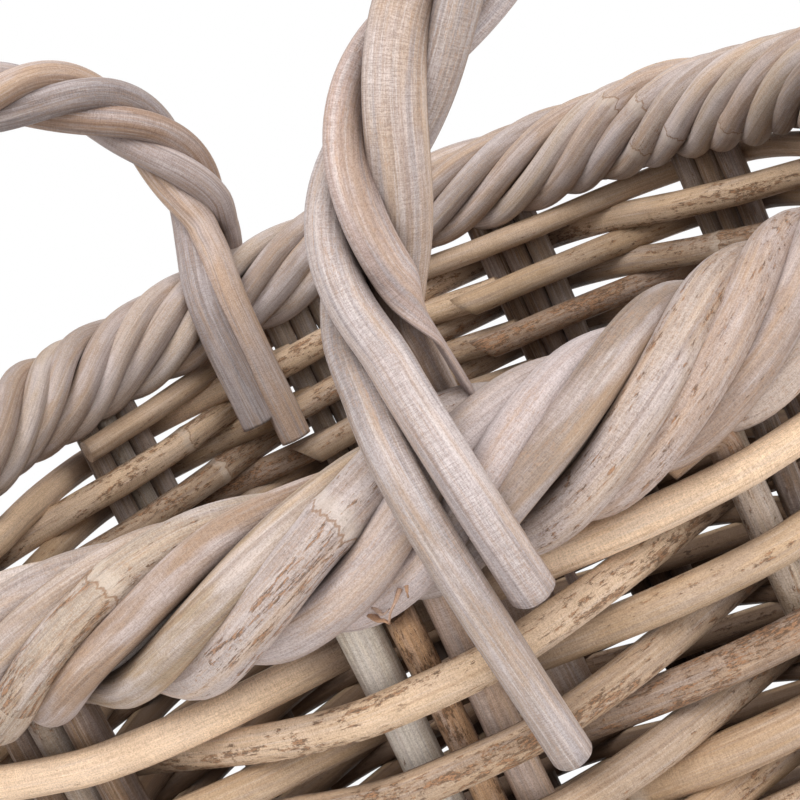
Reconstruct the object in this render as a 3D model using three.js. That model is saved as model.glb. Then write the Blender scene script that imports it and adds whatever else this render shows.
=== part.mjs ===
// A round woven umbrella basket in whole cane: groups of upright stakes, weavers that spiral in and
// out of them, a rope-like rolled border, a foot ring, a base, and two twisted ear handles.
// Millimetres, +Z up, origin on the floor at the centre of the basket.
import * as THREE from 'three';

// Wall
const wallRadius = 150; // circle that the stakes stand on
const groupCount = 13; // odd, so that one spiral weaver alternates by itself
const stakesPerGroup = 3;
const stakeDiameter = 6.4;
const stakeSpacing = 7.8; // between stakes of one group
const weaverDiameter = 7.2;
const rowGap = 0.3; // between weavers of neighbouring rows
const weaverCount = 3;
const rowsPerWeaver = 19;
const firstPassedGroup = 4; // the group that the lowest weaver passes first
const weaverEndGap = 0.6; // where one weaver follows another
const clearance = 0.3; // between pieces that rest on each other
const cornerRoom = 0.45; // extra room where a weaver turns round a group

// Foot ring and base
const footHeight = 14;
const footWidth = 14;
const footChamfer = 3.5;
const baseThickness = 8;
const baseLift = 4;

// Rolled border
const borderStrandCount = 8;
const borderCrossings = 64; // strands that pass over the outer face in one round
const borderStrandDiameter = 6.7;
const borderRopeHalfWidth = 10; // from the rope's middle to a strand's middle
const borderRopeHalfHeight = 11;
const borderEndGap = 4;

// Handles
const handleStartGroups = [0, 7]; // each handle runs from this group to the next but one
const handleSpanGroups = 2;
const handleStrandCount = 4;
const handleStrandDiameter = 6.4;
const handleRopeRadius = 6.1; // from the rope's middle to a strand's middle
const handleFootOffset = 15.7; // along the wall, from a group's middle to a handle's foot
const handleFootRises = [14, 6]; // above the border's top, where the legs join in the twist
const handleArchHeights = [56, 72]; // above that
const handleShoulderShares = [0, 0.2]; // above 0 an arch rises straighter before it bends over
const handleTurns = 2.5; // of the twist, from foot to foot
const legHalfSpacing = 4.7;
const outerLegAside = -2.7; // from the foot along the wall, to the middle between two legs
const innerLegAside = 9.4;
const outerLegLean = 0.12; // sideways for each unit down
const legRoom = -0.5; // from the border's round outline, as a cane's flats lie inside its own
const outerLegDrops = [2, 30]; // below the border
const innerLegDrops = [22, 32];
const legHeightShares = [-1, 0.25, 0.72]; // of the border's half height, from its middle
const legRiseShare = 0.3; // of the foot's rise, above the border
const legPlaceShares = [1, 1, 0.9, 0.45]; // from the leg's place in the twist to its place at the wall

// Fineness of the faceted solids
const roundSides = 5;
const stakeSides = 6;
const weaverSides = 4;
const borderStepsPerGroup = 6;
const archSteps = 24;
const ringSegments = groupCount * 3;

// Worked out from the sizes above
const groupAngle = (2 * Math.PI) / groupCount;
const stakeRadius = stakeDiameter / 2;
const weaverRadius = weaverDiameter / 2;
const borderStrandRadius = borderStrandDiameter / 2;
const handleStrandRadius = handleStrandDiameter / 2;
const rowPitch = weaverDiameter + rowGap;
const rowCount = weaverCount * rowsPerWeaver;
const passOffset = stakeRadius + weaverRadius + clearance + cornerRoom;
const passHalfLength = stakeSpacing + clearance * 4;
const weaveBottom = footHeight + clearance + weaverRadius;
const weaveTop = weaveBottom + rowCount * rowPitch + weaverRadius;
const borderHalfWidth = borderRopeHalfWidth + borderStrandRadius;
const borderHalfHeight = borderRopeHalfHeight + borderStrandRadius;
const borderBottom = weaveTop + clearance;
const borderMiddle = borderBottom + borderHalfHeight;
const borderTop = borderMiddle + borderHalfHeight;
const handleFootAngle = handleFootOffset / wallRadius;
const lastHandleGroup = handleStartGroups[handleStartGroups.length - 1] + handleSpanGroups;
// The two handles lie alike on both sides of the X axis.
const firstGroupAngle = -handleFootAngle - (lastHandleGroup * groupAngle) / 2;

const stakeCane = new THREE.MeshStandardMaterial({ color: 0x9c8670, roughness: 0.75, metalness: 0 });
const weaverCane = new THREE.MeshStandardMaterial({ color: 0xb5986f, roughness: 0.7, metalness: 0 });
const borderCane = new THREE.MeshStandardMaterial({ color: 0xb3a193, roughness: 0.7, metalness: 0 });
const handleCane = new THREE.MeshStandardMaterial({ color: 0xad9c90, roughness: 0.7, metalness: 0 });
const baseCane = new THREE.MeshStandardMaterial({ color: 0x927b63, roughness: 0.8, metalness: 0 });

const basket = new THREE.Group();

function add(name, geometry, material) {
  const mesh = new THREE.Mesh(geometry, material);
  mesh.name = name;
  basket.add(mesh);
  return mesh;
}

function polar(radius, angle, z) {
  return new THREE.Vector3(radius * Math.cos(angle), radius * Math.sin(angle), z);
}

function stakeGroupAngle(group) {
  return firstGroupAngle + group * groupAngle;
}

// A cane along a path: a ring of points at each point of the path, and a flat cut at both ends.
// With an up vector one corner of the section points up all the way.
function cane(path, radius, sides, up) {
  const positions = [];
  const index = [];
  let normal = up ?? new THREE.Vector3(1, 0, 0);
  path.forEach((point, i) => {
    const before = path[Math.max(i - 1, 0)];
    const after = path[Math.min(i + 1, path.length - 1)];
    const tangent = after.clone().sub(before).normalize();
    const start = up ?? normal;
    normal = start.clone().addScaledVector(tangent, -start.dot(tangent)).normalize();
    const side = new THREE.Vector3().crossVectors(tangent, normal);
    for (let k = 0; k < sides; k++) {
      const angle = (2 * Math.PI * k) / sides;
      const corner = point
        .clone()
        .addScaledVector(normal, radius * Math.cos(angle))
        .addScaledVector(side, radius * Math.sin(angle));
      positions.push(corner.x, corner.y, corner.z);
    }
  });
  for (let i = 0; i < path.length - 1; i++) {
    for (let k = 0; k < sides; k++) {
      const a = i * sides + k;
      const b = i * sides + ((k + 1) % sides);
      index.push(a, b, b + sides, a, b + sides, a + sides);
    }
  }
  const last = (path.length - 1) * sides;
  for (let k = 1; k < sides - 1; k++) {
    index.push(0, k + 1, k);
    index.push(last, last + k, last + k + 1);
  }
  const geometry = new THREE.BufferGeometry();
  geometry.setAttribute('position', new THREE.Float32BufferAttribute(positions, 3));
  geometry.setIndex(index);
  return geometry;
}

// A solid turned about the Z axis from a profile of [radius, height] points.
function turned(profile) {
  const points = profile.map(([radius, height]) => new THREE.Vector2(radius, height));
  return new THREE.LatheGeometry(points, ringSegments).rotateX(Math.PI / 2);
}

function addStakes() {
  const bottom = footHeight + clearance;
  const length = borderBottom - clearance - bottom;
  for (let group = 0; group < groupCount; group++) {
    for (let i = 0; i < stakesPerGroup; i++) {
      const offset = (i - (stakesPerGroup - 1) / 2) * stakeSpacing;
      const geometry = new THREE.CylinderGeometry(stakeRadius, stakeRadius, length, stakeSides);
      geometry.rotateX(Math.PI / 2);
      const stake = add(`stake_${group + 1}_${i + 1}`, geometry, stakeCane);
      const angle = stakeGroupAngle(group) + offset / wallRadius;
      stake.rotation.z = angle;
      stake.position.copy(polar(wallRadius, angle, bottom + length / 2));
    }
  }
}

// The points where a weaver passes one stake group, outside the even ones and inside the odd ones.
// Groups are counted on from round to round, and the weaver climbs one row in a round.
function passPoints(count) {
  const angle = stakeGroupAngle(count + firstPassedGroup);
  const z = weaveBottom + (rowPitch * count) / groupCount;
  if (count % 2 !== 0) return [polar(wallRadius - passOffset, angle, z)];
  const half = passHalfLength / wallRadius;
  const climb = (rowPitch * half) / (2 * Math.PI);
  const radius = wallRadius + passOffset;
  return [polar(radius, angle - half, z - climb), polar(radius, angle + half, z + climb)];
}

// A point halfway between the pass of one group and that of the next, moved on by some length.
function halfwayPoint(count, shift) {
  const from = passPoints(count - 1).pop();
  const step = passPoints(count)[0].sub(from);
  return from.addScaledVector(step, 0.5 + shift / step.length());
}

function addWeavers() {
  const groupsPerWeaver = rowsPerWeaver * groupCount;
  for (let i = 0; i < weaverCount; i++) {
    const first = i * groupsPerWeaver;
    const end = first + groupsPerWeaver;
    const path = [halfwayPoint(first, weaverEndGap / 2)];
    for (let count = first; count < end; count++) path.push(...passPoints(count));
    path.push(halfwayPoint(end, -weaverEndGap / 2));
    add(`weaver_${i + 1}`, cane(path, weaverRadius, weaverSides, new THREE.Vector3(0, 0, 1)), weaverCane);
  }
}

// The border is a rope laid round the rim: each strand turns about the rope's middle as it goes.
function borderPoint(strand, share) {
  const round = 2 * Math.PI * share;
  const twist = (borderCrossings * round + 2 * Math.PI * strand) / borderStrandCount;
  const radius = wallRadius + borderRopeHalfWidth * Math.cos(twist);
  return polar(radius, firstGroupAngle + round, borderMiddle + borderRopeHalfHeight * Math.sin(twist));
}

function addBorder() {
  const steps = borderStepsPerGroup * groupCount;
  const endShare = borderEndGap / (2 * Math.PI * wallRadius);
  for (let strand = 0; strand < borderStrandCount; strand++) {
    const path = [];
    for (let i = 0; i < steps; i++) path.push(borderPoint(strand, i / steps));
    path.push(borderPoint(strand, 1 - endShare));
    add(`border_strand_${strand + 1}`, cane(path, borderStrandRadius, roundSides), borderCane);
  }
}

function addFootAndBase() {
  const inner = wallRadius - footWidth / 2;
  const outer = wallRadius + footWidth / 2;
  const ring = [
    [inner + footChamfer, 0],
    [outer - footChamfer, 0],
    [outer, footChamfer],
    [outer, footHeight - footChamfer],
    [outer - footChamfer, footHeight],
    [inner + footChamfer, footHeight],
    [inner, footHeight - footChamfer],
    [inner, footChamfer],
    [inner + footChamfer, 0],
  ];
  add('foot_ring', turned(ring), borderCane);
  const rim = inner - clearance;
  const disc = [
    [0, baseLift],
    [rim, baseLift],
    [rim, baseLift + baseThickness],
    [0, baseLift + baseThickness],
  ];
  add('base_panel', turned(disc), baseCane);
}

// The way of one handle leg, from its cut end up past the border to the twisted part, where it is
// rope units out from the wall's circle and side units along it.
function legPoints(foot, rope, side, outSign, sideSign, drop, footRise) {
  const out = outSign * (borderHalfWidth + legRoom + handleStrandRadius);
  const nearWall = outSign * (passOffset + weaverRadius + clearance + handleStrandRadius);
  const aside = (outSign > 0 ? outerLegAside : innerLegAside) + sideSign * legHalfSpacing;
  const lean = outSign > 0 ? outerLegLean : 0;
  const leg = (offset, z, share) => {
    const radius = wallRadius + rope + (offset - rope) * share;
    const along = side + (aside + lean * (borderTop - z) - side) * share;
    return polar(radius, foot + along / radius, z);
  };
  const heights = legHeightShares.map((share) => borderMiddle + share * borderHalfHeight);
  heights.push(borderTop + legRiseShare * footRise);
  return [leg(nearWall, borderBottom - drop, 1), ...heights.map((z, i) => leg(out, z, legPlaceShares[i]))];
}

// A handle strand: a leg, the twisted arch, and the leg at the other foot.
function handlePath(strand, startFoot, endFoot, footRise, archHeight, shoulder) {
  const middle = (startFoot + endFoot) / 2;
  const half = (endFoot - startFoot) / 2;
  const phase = (2 * Math.PI * strand) / handleStrandCount;
  const totalTwist = 2 * Math.PI * handleTurns;
  const legTurn = Math.PI / 4;
  const legAt = (foot, turn, way) => {
    const angle = turn + way * legTurn;
    const outward = Math.cos(angle) > 0;
    const sideways = Math.sin(angle) * way > 0;
    const drop = (outward ? outerLegDrops : innerLegDrops)[sideways ? 0 : 1];
    const rope = handleRopeRadius * Math.cos(turn);
    const side = handleRopeRadius * Math.sin(turn) * way;
    return legPoints(foot, rope, side, outward ? 1 : -1, sideways ? 1 : -1, drop, footRise);
  };
  const path = legAt(startFoot, phase, 1);
  for (let i = 0; i <= archSteps; i++) {
    const t = (Math.PI * i) / archSteps;
    const rise = footRise + archHeight * Math.sin(t);
    const angle = middle - half * Math.cos(t) * (1 + shoulder * Math.sin(t) ** 2);
    const pace = half * Math.sin(t) * (1 + shoulder * (Math.sin(t) ** 2 - 2 * Math.cos(t) ** 2));
    const centre = polar(wallRadius, angle, borderTop + rise);
    const along = new THREE.Vector3(-Math.sin(angle), Math.cos(angle), 0)
      .multiplyScalar(wallRadius * pace)
      .setZ(archHeight * Math.cos(t))
      .normalize();
    const outward = polar(1, angle, 0);
    const across = new THREE.Vector3().crossVectors(along, outward);
    const turn = phase - (totalTwist * i) / archSteps;
    centre.addScaledVector(outward, handleRopeRadius * Math.cos(turn));
    centre.addScaledVector(across, handleRopeRadius * Math.sin(turn));
    path.push(centre);
  }
  path.push(...legAt(endFoot, phase - totalTwist, -1).reverse());
  return path;
}

function addHandles() {
  handleStartGroups.forEach((group, h) => {
    const startFoot = stakeGroupAngle(group) + handleFootAngle;
    const endFoot = startFoot + handleSpanGroups * groupAngle;
    for (let strand = 0; strand < handleStrandCount; strand++) {
      const path = handlePath(
        strand,
        startFoot,
        endFoot,
        handleFootRises[h],
        handleArchHeights[h],
        handleShoulderShares[h],
      );
      add(`handle_${h + 1}_strand_${strand + 1}`, cane(path, handleStrandRadius, roundSides), handleCane);
    }
  });
}

addFootAndBase();
addStakes();
addWeavers();
addBorder();
addHandles();

export default basket;
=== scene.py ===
"""The looks of the umbrella basket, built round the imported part.

Sizes are in millimetres until a mesh is made, and angles in radians. Places round the wall are
often counted in stake groups, and colours are written as 0 to 255 display values.
"""

import math

import bpy
import numpy as np
from mathutils import Matrix, Vector


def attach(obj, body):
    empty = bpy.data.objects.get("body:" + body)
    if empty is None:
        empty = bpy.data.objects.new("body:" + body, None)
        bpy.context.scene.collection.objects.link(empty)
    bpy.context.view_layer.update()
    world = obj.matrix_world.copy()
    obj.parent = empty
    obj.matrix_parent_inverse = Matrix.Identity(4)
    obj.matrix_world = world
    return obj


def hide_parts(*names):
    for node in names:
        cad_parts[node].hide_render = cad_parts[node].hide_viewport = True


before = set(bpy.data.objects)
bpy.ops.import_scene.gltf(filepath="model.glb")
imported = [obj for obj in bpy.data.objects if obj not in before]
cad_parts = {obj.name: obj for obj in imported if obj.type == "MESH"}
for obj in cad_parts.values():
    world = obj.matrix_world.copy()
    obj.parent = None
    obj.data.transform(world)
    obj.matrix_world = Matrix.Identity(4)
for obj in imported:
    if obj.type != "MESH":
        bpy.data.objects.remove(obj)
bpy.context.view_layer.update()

# Sizes that repeat the part's source
MM = 0.001
WALL_RADIUS = 150.0
GROUPS = 13
GROUP_ANGLE = 2 * math.pi / GROUPS
STAKES_PER_GROUP = 3
STAKE_SPACING = 7.8
WEAVER_RADIUS = 3.6
ROW_PITCH = 7.5
WEAVERS = 3
ROWS_PER_WEAVER = 19
ROWS = WEAVERS * ROWS_PER_WEAVER
PASSES = ROWS * GROUPS
FIRST_PASSED_GROUP = 4
PASS_OFFSET = 7.55
FOOT_HEIGHT = 14.0
WEAVE_BOTTOM = 17.9
BORDER_BOTTOM = 449.3
BORDER_MIDDLE = 463.65
BORDER_TOP = 478.0
BORDER_STRANDS = 8
BORDER_TURNS = 8
BORDER_HALF_WIDTH = 10.0
BORDER_HALF_HEIGHT = 11.0
HANDLE_START_GROUPS = (0, 7)
HANDLE_SPAN = 2 * GROUP_ANGLE
HANDLE_FOOT_ANGLE = 15.7 / WALL_RADIUS
HANDLE_STRANDS = 4
HANDLE_STRAND_RADIUS = 3.5
HANDLE_ROPE_RADIUS = 6.1
HANDLE_FOOT_RISES = (14.0, 6.0)
HANDLE_ARCH_HEIGHTS = (56.0, 72.0)
HANDLE_SHOULDER_SHARES = (0.0, 0.2)
HANDLE_TURNS = 2.5
HANDLE_LAGS = (0.35, 0.0)
HANDLE_FOOT_SWAYS = (1.0, -1.2)
STRAND_FOOT_SWAYS = {(0, 1): 3.0, (0, 2): 3.5}
HANDLE_ARCH_SWAYS = (2.2, -4.9)
FOOT_SWAY_REACH = 0.14
LEG_OFFSET = 13.9
CLEARANCE = 0.3
LEG_HALF_SPACING = 4.4
OUTER_LEG_ASIDE = -1.9
INNER_LEG_ASIDE = 9.4
OUTER_LEG_LEAN = 0.12
OUTER_LEG_DROPS = (1.0, 30.0)
INNER_LEG_DROPS = (22.0, 32.0)
LEG_HEIGHTS = (2.0, 18.0, 24.7)
LEG_RISE_SHARE = 0.3
LEG_PLACE_SHARES = (1.0, 1.0, 0.9, 0.45)
LEG_TOP_SHARES = {(0, 1): (1.0, 0.6, 0.42, 0.38), (0, 2): (1.0, 1.0, 1.0, 0.85)}
FIRST_GROUP_ANGLE = -HANDLE_FOOT_ANGLE - (HANDLE_START_GROUPS[1] + 2) * GROUP_ANGLE / 2

# Where the camera stands, and the far side of the wall as it sees it, in groups
CAMERA_GROUP = 1.3
FAR_GROUP = 6.7

UP = np.array([[0.0, 0.0, 1.0]])
FULL_TURN = 2 * math.pi

rng = np.random.default_rng(20)


def linear(red, green, blue):
    """A colour written as display values, as linear light."""
    c = np.array([red, green, blue]) / 255.0
    return np.where(c <= 0.04045, c / 12.92, ((c + 0.055) / 1.055) ** 2.4)


# Tones of the canes that the photograph doesn't show one by one
GREY_WASH = ((197, 179, 167), (189, 172, 163), (203, 184, 168), (181, 164, 154), (195, 172, 156))
CANE_TONES = ((212, 180, 146), (196, 164, 130), (220, 190, 156), (182, 152, 122), (202, 174, 146))
MOTTLED = ((182, 158, 132), (170, 148, 126), (188, 168, 146), (160, 136, 112))
WEATHERED = ((176, 154, 134), (188, 170, 152), (140, 114, 92), (160, 134, 110), (202, 188, 172))


def pick(tones):
    """One tone of the list, a little lighter or darker than written."""
    return linear(*tones[rng.integers(len(tones))]) * rng.uniform(0.88, 1.1)


def polar(radius, angle, z):
    """Points from polar coordinates, one row each."""
    radius, angle, z = np.broadcast_arrays(radius, angle, z)
    return np.stack([radius * np.cos(angle), radius * np.sin(angle), z], axis=-1).astype(float)


def group_angle(group):
    """Where a stake group stands round the wall."""
    return FIRST_GROUP_ANGLE + group * GROUP_ANGLE


def wrapped(angle):
    """An angle brought between minus and plus half a turn."""
    return np.angle(np.exp(1j * angle))


def bell(distance, width):
    """1 where the distance is 0, and soon 0 beyond the width."""
    return np.exp(-((distance / width) ** 2))


def ramp(value):
    """The value kept between 0 and 1."""
    return np.clip(value, 0, 1)


WAVE_SHARES = (1.0, 0.53, 0.29)
WAVE_PEAK = 1.3


def wobble(s, wavelength, amount):
    """A smooth random value along s, made of three waves."""
    total = np.zeros_like(s)
    for share in WAVE_SHARES:
        phase = rng.uniform(0, FULL_TURN)
        total += share * np.sin(FULL_TURN * s / (wavelength * share) + phase)
    return amount * total / WAVE_PEAK


def lengths(path):
    """How far along the path each of its points lies."""
    steps = np.linalg.norm(np.diff(path, axis=0), axis=1)
    return np.concatenate([[0.0], np.cumsum(steps)])


def smooth(path, step):
    """The path rounded off through its own points and cut into even steps."""
    s = lengths(path)
    slopes = np.gradient(path, s, axis=0)
    at = np.linspace(0, s[-1], max(int(s[-1] / step), 4))
    i = np.clip(np.searchsorted(s, at, side="right") - 1, 0, len(s) - 2)
    h = (s[i + 1] - s[i])[:, None]
    t = ((at - s[i])[:, None]) / h
    return (
        (2 * t**3 - 3 * t**2 + 1) * path[i]
        + (t**3 - 2 * t**2 + t) * h * slopes[i]
        + (3 * t**2 - 2 * t**3) * path[i + 1]
        + (t**3 - t**2) * h * slopes[i + 1]
    )


def soften(path, reach):
    """The path with its corners smoothed over a few points. Its ends stay."""
    window = 3 * reach
    offsets = np.arange(-window, window + 1)
    weights = np.exp(-0.5 * (offsets / reach) ** 2)
    weights = weights / weights.sum()
    before = 2 * path[0] - path[1 : window + 1][::-1]
    after = 2 * path[-1] - path[-window - 1 : -1][::-1]
    padded = np.concatenate([before, path, after])
    return np.stack([np.convolve(padded[:, k], weights, "valid") for k in range(3)], axis=1)


# How the outline of every cane is uneven: lobes round it, millimetres in which they turn by one
# radian, and their depth as a share of the radius
LOBES = ((2, 40, 0.022), (3, -25, 0.016), (5, 90, 0.010), (7, -120, 0.006))
RADIUS_WAVE = (90.0, 0.025)
NODE_SWELL = 0.07
NODE_HALF_LENGTH = 2.5
BEYOND_NODES = 30.0
GRAIN_SPREAD = 4000
GRAIN_PERIOD = 97
SQUEEZED_SHARE = 0.6
BROKEN_SHADE = 0.9


class Canes:
    """Canes that share one mesh, with their looks and where their fibres run as attributes."""

    # Attributes of the mesh: type, and the field that takes their values
    KINDS = {
        "grain": ("FLOAT_VECTOR", "vector"),
        "tone": ("FLOAT_COLOR", "color"),
        **dict.fromkeys(("wear", "ring", "crevice_shade"), ("FLOAT", "value")),
    }

    def __init__(self):
        self.points, self.faces, self.flat = [], [], []
        self.values = {name: [] for name in self.KINDS}
        self.count = 0

    def add(
        self, path, radius, reference, tone, wear=0.3, sides=12, rings=(), flatness=0.0,
        twist=0.0, tilt=(0.0, 0.0), core=None, reach=(1.0, 2.0), dark=None, ragged=0.0,
    ):
        """A cane along the path.

        reference is a direction across it, wear says how much bark is left, and rings are the
        places of nodes along it. flatness squeezes it along the reference, twist turns its
        fibres, and tilt slants its two cut ends. In a rope, core is the rope's middle, and painted
        shade darkens the cane from reach[1] to reach[0] from it, in the crevices between canes.
        dark gives painted shade from the points, for the crevices of other canes. ragged is how
        unevenly the far end is broken off; that end is darkened too.
        """
        n = len(path)
        s = lengths(path)
        tangent = np.gradient(path, axis=0)
        tangent /= np.linalg.norm(tangent, axis=1)[:, None]
        normal = reference - tangent * np.sum(reference * tangent, axis=1)[:, None]
        normal /= np.linalg.norm(normal, axis=1)[:, None]
        side = np.cross(tangent, normal)
        radius = np.broadcast_to(radius, (n,)) * (1 + wobble(s, *RADIUS_WAVE))
        ring = np.full(n, BEYOND_NODES)
        for place in rings:
            ring = np.where(np.abs(s - place) < np.abs(ring), s - place, ring)
            radius = radius * (1 + NODE_SWELL * bell(s - place, NODE_HALF_LENGTH))
        angle = np.linspace(0, FULL_TURN, sides, endpoint=False)
        a, b = np.meshgrid(angle, s)
        uneven = np.ones_like(a)
        for lobes, run, amount in LOBES:
            uneven += amount * np.cos(lobes * a + b / run + rng.uniform(0, 6))
        spread = radius[:, None] * uneven
        x = spread * np.cos(a) * (1 - flatness)
        y = spread * np.sin(a) * (1 + flatness * SQUEEZED_SHARE)
        points = path[:, None, :] + x[..., None] * normal[:, None, :]
        points = points + y[..., None] * side[:, None, :]
        points[0] += tangent[0] * (tilt[0] * x[0])[:, None]
        points[-1] += tangent[-1] * (tilt[1] * x[-1])[:, None]
        turned = a + twist * b
        offset = rng.uniform(0, GRAIN_SPREAD)
        fibres_x = spread * np.cos(turned) + offset % GRAIN_PERIOD
        grain = np.stack([b + offset, fibres_x, spread * np.sin(turned)], axis=-1)
        # Painted shade: darker in a rope's crevices, or where other canes would shade the cane.
        crevice_shade = np.zeros((n, sides))
        if core is not None:
            depth = np.linalg.norm(points - core[:, None, :], axis=2)
            crevice_shade = 1 - ramp((depth - reach[0]) / (reach[1] - reach[0]))
        if dark is not None:
            crevice_shade = dark(points)
        if ragged:
            points[-1] += tangent[-1] * rng.uniform(-ragged, ragged, sides)[:, None]
            crevice_shade[-1] = BROKEN_SHADE
        self.points.append(points.reshape(-1, 3))
        self.values["grain"].append(grain.reshape(-1, 3))
        self.values["tone"].append(np.broadcast_to([*tone, 1.0], (n * sides, 4)))
        self.values["wear"].append(np.full(n * sides, wear))
        self.values["ring"].append(np.repeat(ring, sides))
        self.values["crevice_shade"].append(crevice_shade.ravel())
        self.add_faces(n, sides)

    def add_faces(self, n, sides):
        """The faces of one cane: quads between its outlines, and a flat face at either end."""
        row, col = np.meshgrid(np.arange(n - 1), np.arange(sides), indexing="ij")
        here, there = row * sides, (row + 1) * sides
        after = (col + 1) % sides
        quads = np.stack([here + col, here + after, there + after, there + col], axis=-1)
        first, last = np.arange(sides)[::-1], np.arange(sides) + (n - 1) * sides
        self.faces += (quads.reshape(-1, 4) + self.count).tolist()
        self.faces += [(end + self.count).tolist() for end in (first, last)]
        self.flat += [False] * ((n - 1) * sides) + [True, True]
        self.count += n * sides

    def build(self, name, material, slot, *nodes):
        """The canes as a piece, which stands for the CAD nodes named."""
        mesh = bpy.data.meshes.new(name)
        mesh.from_pydata((np.concatenate(self.points) * MM).tolist(), [], self.faces)
        mesh.polygons.foreach_set("use_smooth", [not flat for flat in self.flat])
        for attribute, (kind, field) in self.KINDS.items():
            layer = mesh.attributes.new(attribute, kind, "POINT")
            values = np.concatenate(self.values[attribute])
            layer.data.foreach_set(field, np.ascontiguousarray(values, dtype=np.float32).ravel())
        mesh.materials.append(material)
        piece = bpy.data.objects.new(name, mesh)
        bpy.context.scene.collection.objects.link(piece)
        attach(piece, "root")
        if nodes:
            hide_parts(*nodes)


class Shader:
    """Short names for the few node kinds that the cane materials are made of."""

    def __init__(self, name):
        self.material = bpy.data.materials.new(name)
        self.material.use_nodes = True
        self.tree = self.material.node_tree
        self.bsdf = self.tree.nodes["Principled BSDF"]

    def link(self, source, target):
        if isinstance(source, bpy.types.NodeSocket):
            self.tree.links.new(source, target)
        else:
            target.default_value = source

    def attribute(self, name, output):
        node = self.tree.nodes.new("ShaderNodeAttribute")
        node.attribute_name = name
        return node.outputs[output]

    def noise(self, vector, along, across, detail, roughness):
        """Noise with its own scale along and across the cane."""
        stretch = self.tree.nodes.new("ShaderNodeVectorMath")
        stretch.operation = "MULTIPLY"
        self.link(vector, stretch.inputs[0])
        stretch.inputs[1].default_value = (along, across, across)
        node = self.tree.nodes.new("ShaderNodeTexNoise")
        node.inputs["Scale"].default_value = 1.0
        node.inputs["Detail"].default_value = detail
        node.inputs["Roughness"].default_value = roughness
        self.link(stretch.outputs[0], node.inputs["Vector"])
        return node.outputs["Fac"]

    def math(self, operation, *values):
        node = self.tree.nodes.new("ShaderNodeMath")
        node.operation = operation
        for value, socket in zip(values, node.inputs):
            self.link(value, socket)
        return node.outputs[0]

    def times(self, a, b):
        return self.math("MULTIPLY", a, b)

    def plus(self, a, b):
        return self.math("ADD", a, b)

    def minus(self, a, b):
        return self.math("SUBTRACT", a, b)

    def rise(self, value, low, high, to_low=0.0, to_high=1.0):
        """value brought smoothly from low..high to to_low..to_high."""
        node = self.tree.nodes.new("ShaderNodeMapRange")
        node.interpolation_type = "SMOOTHSTEP"
        for v, socket in zip((value, low, high, to_low, to_high), node.inputs):
            self.link(v, socket)
        return node.outputs[0]

    def mix(self, share, a, b, blend="MIX"):
        node = self.tree.nodes.new("ShaderNodeMix")
        node.data_type = "RGBA"
        node.blend_type = blend
        for value, socket in zip((share, a, b), (node.inputs[0], node.inputs[6], node.inputs[7])):
            self.link(value, socket)
        return node.outputs[2]


def colour(red, green, blue):
    """A colour written as display values, as a shader socket takes it."""
    return (*linear(red, green, blue), 1.0)


# Noises of the cane materials: scale along and across the fibres, per mm, detail and roughness
NOISES = {
    "fibre": (0.04, 2.0, 4.0, 0.65),
    "hair": (0.35, 8.0, 2.0, 0.5),
    "grit": (3.2, 4.0, 3.0, 0.75),
    "streak": (0.012, 0.5, 2.0, 0.5),
    "warmth": (0.02, 0.3, 3.0, 0.6),
    "cloud": (0.045, 0.18, 3.0, 0.6),
    "ticks": (8.0, 0.45, 1.0, 0.5),
    "dots": (0.8, 2.4, 3.0, 0.7),
    "scar": (0.20, 1.4, 5.0, 0.72),
    "blotch": (0.34, 0.9, 5.0, 0.75),
    "patch": (0.03, 0.17, 2.0, 0.6),
    "stripe": (0.05, 2.0, 3.0, 0.65),
    "band": (0.020, 0.7, 3.0, 0.6),
    "wiggle": (0.0, 0.26, 4.0, 0.55),
}
DARK_BARK = colour(98, 72, 52)
LIGHT_BARK = colour(164, 120, 86)
PIT = colour(92, 68, 50)
LADDER = colour(154, 130, 118)
TAN = colour(170, 132, 100)
NODE_LINE = colour(142, 108, 80)
NODE_HALO = colour(218, 204, 190)
# Painted shade, for crevices and the inside of the basket
CREVICE_SHADE = colour(84, 60, 46)
# The value of a noise above which bark or a pit shows, and how far wear brings it down
SCAR_START, SCAR_PER_WEAR = 0.70, 0.165
BLOTCH_START, BLOTCH_PER_WEAR = 0.78, 0.13
PIT_START, PIT_PER_WEAR = 0.74, 0.08
PATCH_PER_WEAR = 0.12
FEWER_AFTER_NODE = 0.10
BARK_SHARE = 0.85
PIT_SHARE = 0.7
TAN_SHARE = 0.3
# How strongly and how sharply the painted shade in crevices darkens the colour
CREVICE_SHADE_SHARE = 0.85
CREVICE_SHADE_POWER = 1.4
NODE_WIGGLE = 9.0
HALO_PLACE = 1.6
ROUGHER_SHARE = 0.14
SPECULAR = 0.3
BUMP_STRENGTH = 0.6
BUMP_DEPTH = 0.0004


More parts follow.
